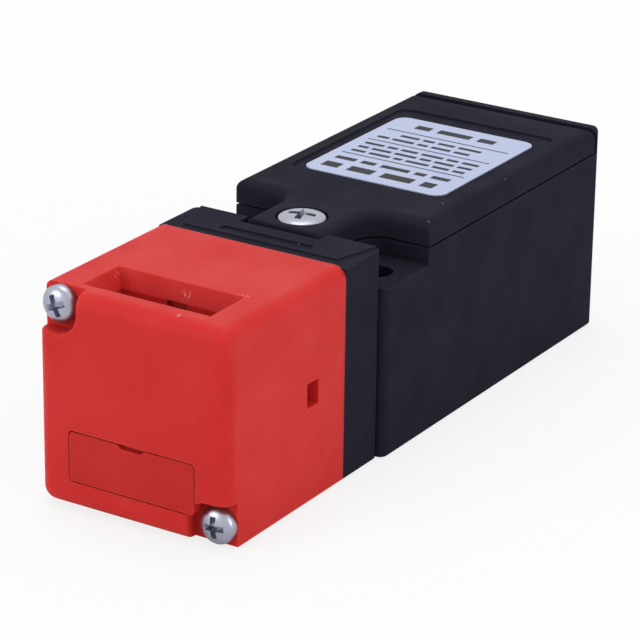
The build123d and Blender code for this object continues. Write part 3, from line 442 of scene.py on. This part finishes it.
# %% [markdown]
# ## Black casing
# The casing and its cover are the same resin in black. Carbon black leaves almost no colour
# of its own, so what the eye reads is a dark, cool grey with a weak, wide, bluish shine.

# %% Black polyamide
COOL_SHEEN = (0.7, 0.7, 1.0, 1)

# the third colour is the lighter one of a painted highlight on outer edges
black_polyamide, black_tree, black_shader = moulded_plastic(
    "black_moulded_polyamide", "282733", "1A1921", "31303B",
    roughness=0.7, gloss=0.036, grain_strength=1.0,
)
black_shader.inputs["Specular Tint"].default_value = COOL_SHEEN
dust_over(
    black_tree, black_shader, cell=0.9 * MM, rarity=0.02, grain_share=0.12, colour="8A8A92"
)
print("made", black_polyamide.name)

# %% [markdown]
# ## Thread of the conduit entry
# The round opening at the rear takes a metric gland, so its wall has a thread with a pitch
# of 1.5 mm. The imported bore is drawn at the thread's crests. The grooves between them are
# shaded rather than cut: a phase that grows with the depth and with the angle round the
# axis makes one continuous helix, which drives a bump beneath that of the grain.

# %% Conduit thread
PITCH = 1.5 * MM
RELIEF = 1.2 * MM
entry = next(mount for mount in frame["record"]["mounts"] if mount["name"] == "conduit_entry")
_, entry_y, entry_z = entry["pos_m"]
entry_length = entry["dims"]["length_mm"] * MM
thread_front = entry_y - entry_length / 2 + 0.05 * MM  # just clear of the entry's inner face
thread_reach = (entry["dims"]["r_mm"] + 0.11) * MM  # just outside the entry's wall

black_place = add_node(black_tree, "TexCoord").outputs["Object"]
axes = add_node(black_tree, "SeparateXYZ", links={0: black_place})
above = add_node(
    black_tree, "Math", {"operation": "SUBTRACT", 1: entry_z}, {0: axes.outputs["Z"]}
)
angle = add_node(
    black_tree, "Math", {"operation": "ARCTAN2"}, {0: above.outputs[0], 1: axes.outputs["X"]}
)
share_of_turn = add_node(
    black_tree, "Math", {"operation": "DIVIDE", 1: 2 * math.pi}, {0: angle.outputs[0]}
)
depth_in_turns = add_node(
    black_tree, "Math", {"operation": "DIVIDE", 1: PITCH}, {0: axes.outputs["Y"]}
)
phase = add_node(
    black_tree, "Math", {"operation": "ADD"},
    {0: depth_in_turns.outputs[0], 1: share_of_turn.outputs[0]},
)
flank = add_node(black_tree, "Math", {"operation": "PINGPONG", 1: 0.5}, {0: phase.outputs[0]})
across_entry = add_node(
    black_tree, "CombineXYZ", links={"X": axes.outputs["X"], "Y": above.outputs[0]}
)
off_axis = add_node(
    black_tree, "VectorMath", {"operation": "LENGTH"}, {0: across_entry.outputs["Vector"]}
)
inside = add_node(
    black_tree, "Math", {"operation": "LESS_THAN", 1: thread_reach}, {0: off_axis.outputs["Value"]}
)
behind = add_node(
    black_tree, "Math", {"operation": "GREATER_THAN", 1: thread_front}, {0: axes.outputs["Y"]}
)
in_entry = add_node(
    black_tree, "Math", {"operation": "MULTIPLY"}, {0: inside.outputs[0], 1: behind.outputs[0]}
)
thread_height = add_node(
    black_tree, "Math", {"operation": "MULTIPLY"}, {0: flank.outputs[0], 1: in_entry.outputs[0]}
)
thread_bump = add_node(
    black_tree, "Bump", {"Strength": 1.0, "Distance": RELIEF}, {"Height": thread_height.outputs[0]}
)
grain_bump = black_shader.inputs["Normal"].links[0].from_node
black_tree.links.new(thread_bump.outputs["Normal"], grain_bump.inputs["Normal"])
print("turns of thread:", round(entry_length / PITCH, 1))

# %% [markdown]
# ## Plastics inside
# The plunger, its bush and the contact carrier are natural acetal, slippery and ivory white.
# The contact block is a grey polyamide, a dull ground from which the brass stands out. Both
# use the same recipe with a smoother grain.

# %% Acetal and grey polyamide
# the third colour of each is the lighter one of a painted highlight on outer edges
natural_acetal = moulded_plastic(
    "natural_acetal", "E9E6DA", "E1DDCF", "F2F0E8",
    roughness=0.35, gloss=0.5, grain_strength=0.15,
)[0]
grey_polyamide = moulded_plastic(
    "grey_moulded_polyamide", "8C8F94", "84878C", "A0A3A8",
    roughness=0.5, gloss=0.4, grain_strength=0.4,
)[0]
print("made", natural_acetal.name, grey_polyamide.name)

# %% [markdown]
# ## Rubber
# The gasket and the plunger's seal are black nitrile rubber: darker and duller than the
# casing, with a faint bloom that greys it in patches.

# %% Nitrile rubber
BLOOM = 1.5 * MM

nitrile, nitrile_tree, nitrile_shader = new_material("black_nitrile_rubber")
nitrile_place = add_node(nitrile_tree, "TexCoord").outputs["Object"]
bloom = add_node(
    nitrile_tree, "TexNoise", {"Scale": 1 / BLOOM, "Detail": 4.0}, {"Vector": nitrile_place}
)
nitrile_colour = add_node(
    nitrile_tree,
    "Mix",
    {"data_type": "RGBA", MIX_COLOUR_A: linear("131313"), MIX_COLOUR_B: linear("262626")},
    {MIX_SHARE: bloom.outputs["Fac"]},
)
nitrile_shader.inputs["Roughness"].default_value = 0.75
nitrile_shader.inputs["IOR"].default_value = 1.52
nitrile_tree.links.new(nitrile_colour.outputs[MIX_COLOUR_OUT], nitrile_shader.inputs["Base Color"])
print("made", nitrile.name)

# %% [markdown]
# ## Metals
# The screws are steel with bright zinc and a clear passivation, which tints it faintly
# lilac. The tint and the roughness change in patches of a millimetre or two. The wheel is
# die-cast zinc, duller and greyer; the contacts are stamped brass, warm among the greys;
# springs and axle are plain bright steel. One recipe makes them all: a metal's base colour
# is its reflection.

# %% Metal recipe
MARK = 0.25 * MM
MARK_DEPTH = 0.01 * MM
SMOOTHER, DULLER = 0.07, 0.1  # how far the roughness goes either way in the patches


def bright_metal(name, colour, patch_colour, roughness, patch_size, mark_strength):
    """A metal whose tint and roughness change in patches, with fine marks as a bump."""
    material, tree, shader = new_material(name)
    place = add_node(tree, "TexCoord").outputs["Object"]
    patch = add_node(
        tree, "TexNoise", {"Scale": 1 / patch_size, "Detail": 4.0}, {"Vector": place}
    )
    tint = add_node(
        tree,
        "Mix",
        {"data_type": "RGBA", MIX_COLOUR_A: linear(colour), MIX_COLOUR_B: linear(patch_colour)},
        {MIX_SHARE: patch.outputs["Fac"]},
    )
    least, most = roughness - SMOOTHER, roughness + DULLER
    dull = add_node(
        tree,
        "MapRange",
        {"From Min": NOISE_LOW, "From Max": NOISE_HIGH, "To Min": least, "To Max": most},
        {"Value": patch.outputs["Fac"]},
    )
    marks = add_node(tree, "TexNoise", {"Scale": 1 / MARK, "Detail": 3.0}, {"Vector": place})
    bump = add_node(
        tree, "Bump", {"Strength": mark_strength, "Distance": MARK_DEPTH},
        {"Height": marks.outputs["Fac"]},
    )
    shader.inputs["Metallic"].default_value = 1.0
    tree.links.new(tint.outputs[MIX_COLOUR_OUT], shader.inputs["Base Color"])
    tree.links.new(dull.outputs["Result"], shader.inputs["Roughness"])
    tree.links.new(bump.outputs["Normal"], shader.inputs["Normal"])
    return material


zinc_plate = bright_metal(
    "bright_zinc_plated_steel", "B0B2C0", "A2A4B2",
    roughness=0.34, patch_size=2.5 * MM, mark_strength=0.03,
)
cast_zinc = bright_metal(
    "die_cast_zinc", "B4B5B8", "9FA1A5", roughness=0.45, patch_size=2.0 * MM, mark_strength=0.6
)
drawn_wire = bright_metal(
    "drawn_spring_wire", "C6C6C9", "B0B0B4", roughness=0.25, patch_size=0.8 * MM, mark_strength=0.2
)
ground_steel = bright_metal(
    "ground_steel_pin", "BDBDC2", "A8A8AE", roughness=0.2, patch_size=1.0 * MM, mark_strength=0.2
)
stamped_brass = bright_metal(
    "stamped_contact_brass", "DDBB6A", "CBA450",
    roughness=0.28, patch_size=1.5 * MM, mark_strength=0.3,
)
metals = (zinc_plate, cast_zinc, drawn_wire, ground_steel, stamped_brass)
print("metals:", [metal.name for metal in metals])

# %% [markdown]
# ## Label film and ink
# The label is a metallised polyester film with a satin front. It is not a mirror: a fine
# matt coat spreads its shine, so it looks pale silver with a cool tint, and lies so flat
# that only broad, weak waves show. Its ink is screen-printed: a matt near-black that the
# screen leaves a little thinner in spots.

# %% Label film and ink
FILM_WAVE = 9 * MM
FILM_WAVE_HEIGHT = 0.1 * MM
INK_SPOT = 0.4 * MM

film, film_tree, film_shader = new_material("satin_metallised_film")
film_place = add_node(film_tree, "TexCoord").outputs["Object"]
waves = add_node(
    film_tree, "TexNoise", {"Scale": 1 / FILM_WAVE, "Detail": 1.0}, {"Vector": film_place}
)
film_colour = add_node(
    film_tree,
    "Mix",
    {"data_type": "RGBA", MIX_COLOUR_A: linear("B4BCD8"), MIX_COLOUR_B: linear("ABB2D2")},
    {MIX_SHARE: waves.outputs["Fac"]},
)
film_bump = add_node(
    film_tree, "Bump", {"Strength": 0.15, "Distance": FILM_WAVE_HEIGHT},
    {"Height": waves.outputs["Fac"]},
)
film_shader.inputs["Metallic"].default_value = 0.25
film_shader.inputs["Roughness"].default_value = 0.38
film_tree.links.new(film_colour.outputs[MIX_COLOUR_OUT], film_shader.inputs["Base Color"])
film_tree.links.new(film_bump.outputs["Normal"], film_shader.inputs["Normal"])

ink, ink_tree, ink_shader = new_material("screen_printed_ink")
ink_place = add_node(ink_tree, "TexCoord").outputs["Object"]
thin_spots = add_node(
    ink_tree, "TexNoise", {"Scale": 1 / INK_SPOT, "Detail": 3.0}, {"Vector": ink_place}
)
ink_colour = add_node(
    ink_tree,
    "Mix",
    {"data_type": "RGBA", MIX_COLOUR_A: linear("141419"), MIX_COLOUR_B: linear("202028")},
    {MIX_SHARE: thin_spots.outputs["Fac"]},
)
ink_shader.inputs["Roughness"].default_value = 0.5
ink_shader.inputs["Specular IOR Level"].default_value = 0.2
ink_tree.links.new(ink_colour.outputs[MIX_COLOUR_OUT], ink_shader.inputs["Base Color"])
print("made", film.name, ink.name)

# %% [markdown]
# ## Finish for each piece
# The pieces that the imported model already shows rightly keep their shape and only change
# their finish, by their object's material slots.

# %% Give each piece its finish
finishes = {
    red_polyamide: ["head_housing", "wheel_cradle"],
    plug_polyamide: ["slot_plug"],
    black_polyamide: ["housing", "cover", "head_collar"],
    natural_acetal: ["plunger", "guide_bush", "contact_carrier", "screw_retainer"],
    grey_polyamide: ["contact_base", "contact_lid"],
    nitrile: ["plunger_seal", "cover_gasket"],
    film: ["label_plate"],
    cast_zinc: ["cam_wheel"],
    ground_steel: ["wheel_axle"],
    stamped_brass: ["fixed_contacts", "contact_bridges"],
    zinc_plate: ["terminal_clamps", "terminal_screws", "collar_screws"],
}
for finish, names in finishes.items():
    for name in names:
        for material_slot in nodes[name].material_slots:
            material_slot.link = "OBJECT"
            material_slot.material = finish
print("finished", sum(len(names) for names in finishes.values()), "pieces")

# %% [markdown]
# ## Pan-head screws
# Three pan-head screws with a cross recess show: two hold the head and one the cover. A
# screw is a turned part, so its body is a profile spun round its axis. The recess is struck
# by a punch with four tapered wings, so the punch is modelled and subtracted by a Boolean.
# A narrow bevel then softens each edge, because a perfectly sharp edge catches no light.
# The sizes of the profile and of the punch are in mm.

# %% Turned body and cross punch
ON_AXIS = 1e-6  # a point of a profile that is nearer to the axis than this lies on it
ROUND_STEPS = 16  # steps in the rounded top of a head
FULLNESS = 2.2  # 2 makes the top of a head an ellipse, and more makes it fuller
TIP = 0.5  # chamfer at a screw's tip
PUNCH_RISE = 0.4  # how far the punch stands out of the head
WING_TAPER = 0.45  # how much of the punch's taper in length its wings have in width


def turned_body(profile, steps=80):
    """A mesh of revolution round Z; the profile is (radius, height) pairs, axis to axis."""
    shape = bmesh.new()
    rings = []
    for radius, height in profile:
        ring = []
        for i in range(steps if radius > ON_AXIS else 1):
            angle = 2 * math.pi * i / steps
            x, y = radius * MM * math.cos(angle), radius * MM * math.sin(angle)
            ring.append(shape.verts.new((x, y, height * MM)))
        rings.append(ring)
    for near, far in zip(rings, rings[1:]):
        for i in range(steps):
            corners = [near[i % len(near)], near[(i + 1) % len(near)]]
            corners += [far[(i + 1) % len(far)], far[i % len(far)]]
            shape.faces.new(list(dict.fromkeys(corners)))
    bmesh.ops.recalc_face_normals(shape, faces=shape.faces)
    return shape


def cross_punch(reach, wing, top, depth, foot):
    """The punch for a cross recess: twelve-sided, and at its tip only foot times as long."""
    shape = bmesh.new()
    rings = []
    longer = 1 + (1 - foot) * PUNCH_RISE / depth
    for height, share in ((top + PUNCH_RISE, longer), (top - depth, foot)):
        r, w = reach * share, wing * (1 - WING_TAPER + WING_TAPER * share)
        outline = [(r, w), (w, w), (w, r), (-w, r), (-w, w), (-r, w)]
        outline += [(-x, -y) for x, y in outline]
        rings.append([shape.verts.new((x * MM, y * MM, height * MM)) for x, y in outline])
    upper, lower = rings
    shape.faces.new(upper)
    shape.faces.new(list(reversed(lower)))
    for i in range(len(upper)):
        j = (i + 1) % len(upper)
        shape.faces.new([upper[j], upper[i], lower[i], lower[j]])
    bmesh.ops.recalc_face_normals(shape, faces=shape.faces)
    return shape


def placed(name, shape, place):
    """Turns a bmesh into an object whose vertices already stand in their place."""
    shape.transform(place)
    mesh = bpy.data.meshes.new(name)
    shape.to_mesh(mesh)
    shape.free()
    piece = bpy.data.objects.new(name, mesh)
    bpy.context.scene.collection.objects.link(piece)
    return piece


def pan_head_profile(radius, height, crown, shank, length):
    """Profile of a pan-head screw: a full, rounded head on its seat at 0, and a shank."""
    rim = height - crown
    top = []
    for i in range(ROUND_STEPS):
        angle = math.radians(90 * i / ROUND_STEPS)
        out = radius * math.sin(angle) ** (2 / FULLNESS)
        up = rim + crown * math.cos(angle) ** (2 / FULLNESS)
        top.append((out, up))
    side = [(radius, rim), (radius, 0), (shank, 0), (shank, -length + TIP)]
    return top + side + [(shank - TIP, -length), (0, -length)]


head_sizes = {"radius": 2.45, "height": 1.85, "crown": 1.3, "shank": 1.5, "length": 30.1}
head_recess = {"reach": 1.5, "wing": 0.4, "depth": 1.4, "foot": 0.75}
cover_sizes = {"radius": 3.2, "height": 2.3, "crown": 0.75, "shank": 1.5, "length": 7.0}
cover_recess = {"reach": 1.9, "wing": 0.45, "depth": 1.6, "foot": 0.75}
print("points in a head screw's profile:", len(pan_head_profile(**head_sizes)))

# %% Strike the recess and soften the edges
EDGE_WIDTH = 0.09 * MM
BEVELLED_FROM = math.radians(35)
SHARP_FROM = math.radians(50)
SLIVER = 0.002 * MM  # where two bevels meet they leave faces thinner than this


def softened(piece, punch):
    """Cuts the punch out of the piece, bevels its edges and merges slivers; a plain mesh stays."""
    recess = piece.modifiers.new("recess", "BOOLEAN")
    recess.operation = "DIFFERENCE"
    recess.solver = "EXACT"
    recess.object = punch
    edges = piece.modifiers.new("edges", "BEVEL")
    edges.width = EDGE_WIDTH
    edges.segments = 3
    edges.limit_method = "ANGLE"
    edges.angle_limit = BEVELLED_FROM
    bpy.context.view_layer.update()
    result = piece.evaluated_get(bpy.context.evaluated_depsgraph_get())
    finished = bpy.data.meshes.new_from_object(result)
    cleaned = bmesh.new()
    cleaned.from_mesh(finished)
    bmesh.ops.remove_doubles(cleaned, verts=cleaned.verts, dist=SLIVER)
    bmesh.ops.dissolve_degenerate(cleaned, edges=cleaned.edges, dist=SLIVER)
    loose = sum(len(edge.link_faces) != 2 for edge in cleaned.edges)
    print(piece.name, "edges not shared by two faces:", loose)
    cleaned.to_mesh(finished)
    cleaned.free()
    piece.modifiers.clear()
    piece.data = finished
    for face in finished.polygons:
        face.use_smooth = True
    finished.set_sharp_from_angle(angle=SHARP_FROM)
    bpy.data.objects.remove(punch)
    return piece


def pan_head_screw(name, sizes, recess, place, cross_turn):
    """One screw with its seat at a place; cross_turn is the angle its cross stands at."""
    stand = place @ Matrix.Rotation(math.radians(cross_turn), 4, "Z")
    body = placed(name, turned_body(pan_head_profile(**sizes)), stand)
    punch = placed(name + "_punch", cross_punch(top=sizes["height"], **recess), stand)
    screw = softened(body, punch)
    screw.data.materials.clear()
    screw.data.materials.append(zinc_plate)
    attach(screw, "switch_body")
    return screw


def box_in_mm(node):
    """A node's lowest and highest corners in mm; rounding gives back what its facets cut off."""
    return [[round(value / MM, 2) for value in corner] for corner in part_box(node)]


low, high = box_in_mm("head_screws")
out_x = high[0] - head_sizes["radius"]
seat_y = high[1] - head_sizes["length"]
left_z, right_z = high[2] - head_sizes["radius"], low[2] + head_sizes["radius"]
forward = Matrix.Rotation(math.radians(90), 4, "X")
left_place = Matrix.Translation((-out_x * MM, seat_y * MM, left_z * MM)) @ forward
right_place = Matrix.Translation((out_x * MM, seat_y * MM, right_z * MM)) @ forward
low, high = box_in_mm("cover_screw")
cover_y = (low[1] + high[1]) / 2
cover_place = Matrix.Translation((0, cover_y * MM, (low[2] + cover_sizes["length"]) * MM))
left_screw = pan_head_screw(
    "head_screw_left", head_sizes, head_recess, left_place, cross_turn=22
)
right_screw = pan_head_screw(
    "head_screw_right", head_sizes, head_recess, right_place, cross_turn=4
)
cover_screw = pan_head_screw(
    "cover_screw_turned", cover_sizes, cover_recess, cover_place, cross_turn=13
)
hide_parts("head_screws")
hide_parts("head_screws")
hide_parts("cover_screw")
screws = (left_screw, right_screw, cover_screw)
print("screw faces:", [len(screw.data.polygons) for screw in screws])

# %% [markdown]
# ## Coil springs
# Compression springs are wound from round wire, and their last turn at each end lies flat
# so that they stand straight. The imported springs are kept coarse, so each is wound here
# again along the same box: one closed turn, then open turns, then one closed turn.

# %% Coil springs
CLOSED_PITCH = 1.03  # in wire widths, so that the turns of an end don't quite touch


def wound_coil(name, node, wire, turns, body, side=10, steps=28):
    """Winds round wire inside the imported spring's box; its axis runs along Y."""
    low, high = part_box(node)
    middle_z = (low[2] + high[2]) / 2
    radius = (high[0] - low[0]) / 2 - wire / 2
    length = high[1] - low[1] - wire
    closed = wire * CLOSED_PITCH
    open_pitch = (length - 2 * closed) / (turns - 2)
    shape = bmesh.new()
    rings = []
    for i in range(turns * steps + 1):
        turn_count = i / steps
        along = min(turn_count, 1) * closed
        along += min(max(turn_count - 1, 0), turns - 2) * open_pitch
        along += max(turn_count - turns + 1, 0) * closed
        angle_now = 2 * math.pi * turn_count
        out = Vector((math.cos(angle_now), 0, math.sin(angle_now)))
        centre = Vector((0, low[1] + wire / 2 + along, middle_z)) + radius * out
        ring = []
        for k in range(side):
            round_wire = 2 * math.pi * k / side
            offset = out * math.cos(round_wire) + Vector((0, 1, 0)) * math.sin(round_wire)
            ring.append(shape.verts.new(centre + offset * wire / 2))
        rings.append(ring)
    for near, far in zip(rings, rings[1:]):
        for k in range(side):
            n = (k + 1) % side
            shape.faces.new([near[k], near[n], far[n], far[k]])
    shape.faces.new(rings[0])
    shape.faces.new(list(reversed(rings[-1])))
    bmesh.ops.recalc_face_normals(shape, faces=shape.faces)
    coil = placed(name, shape, Matrix.Identity(4))
    for face in coil.data.polygons:
        face.use_smooth = True
    coil.data.materials.append(drawn_wire)
    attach(coil, body)
    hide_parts(node)
    return coil


plunger_coil = wound_coil(
    "plunger_coil", "plunger_spring", wire=0.5 * MM, turns=5, body="switch_body"
)
return_coil = wound_coil(
    "return_coil", "return_spring", wire=0.45 * MM, turns=6, body="switch_body"
)
print("coil faces:", len(plunger_coil.data.polygons), len(return_coil.data.polygons))

# %% [markdown]
# ## Contact springs
# Each contact spring stands on the carrier with its rear end and presses a bridge forward.
# The bridge stops when it meets its contacts and the carrier goes on, so in the switch the
# spring is squashed towards its rear end. Here each is wound again at its full length, like
# the other springs, and moves with the carrier.

for name, node in (
    ("contact_coil_front", "contact_spring_front"),
    ("contact_coil_rear", "contact_spring_rear"),
):
    coil = wound_coil(name, node, wire=0.35 * MM, turns=4, body="contact_carrier")
    low, high = box_in_mm(node)
    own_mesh(coil)

# %% [markdown]
# ## Print on the label
# A rating plate has a heading, ruled lines and rows of small type. This part carries no
# words, so the layout is kept and the type is replaced by plain bars, as in a proof sheet.
# They are printed ink, thinner than a hair, and stand 0.01 mm proud of the film.

# %% Label print
INK_HEIGHT = 0.01 * MM
RULE_LENGTH, RULE_WIDTH = 19.2, 0.26  # in mm, like the places and the rows below
rule_places = [8.4, 15.2, 20.4]  # back from the label's front edge
type_rows = [  # back from the front edge, height, start in x, lengths of the words, gap
    (3.1, 1.9, -9.2, (2.6, 3.8, 4.8, 2.0), 1.4),
    (6.2, 1.1, -9.2, (3.2, 2.2, 4.4, 1.7, 2.8), 0.9),
    (9.9, 0.75, -9.0, (2.2, 3.3, 1.3, 3.6, 2.6, 1.8), 0.6),
    (11.7, 0.75, -9.0, (1.6, 3.0, 3.4, 1.7, 3.0, 2.2), 0.6),
    (13.5, 0.75, -9.0, (3.0, 1.6, 2.6, 3.4, 1.8, 2.6), 0.6),
    (16.8, 0.75, -9.0, (1.8, 3.4, 1.6, 3.0, 2.4), 0.6),
    (18.7, 0.75, -6.4, (3.0, 1.8, 2.6, 3.6), 0.6),
    (23.2, 1.5, -6.6, (2.4, 5.2, 2.6), 1.2),
]
bars = [(0, back, RULE_LENGTH, RULE_WIDTH) for back in rule_places]
for back, height, start, words, gap in type_rows:
    for word in words:
        bars.append((start + word / 2, back, word, height))
        start += word + gap
low, high = box_in_mm("label_plate")
label_front, label_top = low[1], high[2]
print_shape = bmesh.new()
for x, back, length, width in bars:
    middle = (x * MM, (label_front + back) * MM, label_top * MM + INK_HEIGHT / 2)
    bar = Matrix.Translation(middle)
    bar = bar @ Matrix.Diagonal((length * MM, width * MM, INK_HEIGHT, 1))
    bmesh.ops.create_cube(print_shape, size=1.0, matrix=bar)
label_print = placed("label_print", print_shape, Matrix.Identity(4))
label_print.data.materials.append(ink)
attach(label_print, "switch_body")
print("printed bars:", len(bars))
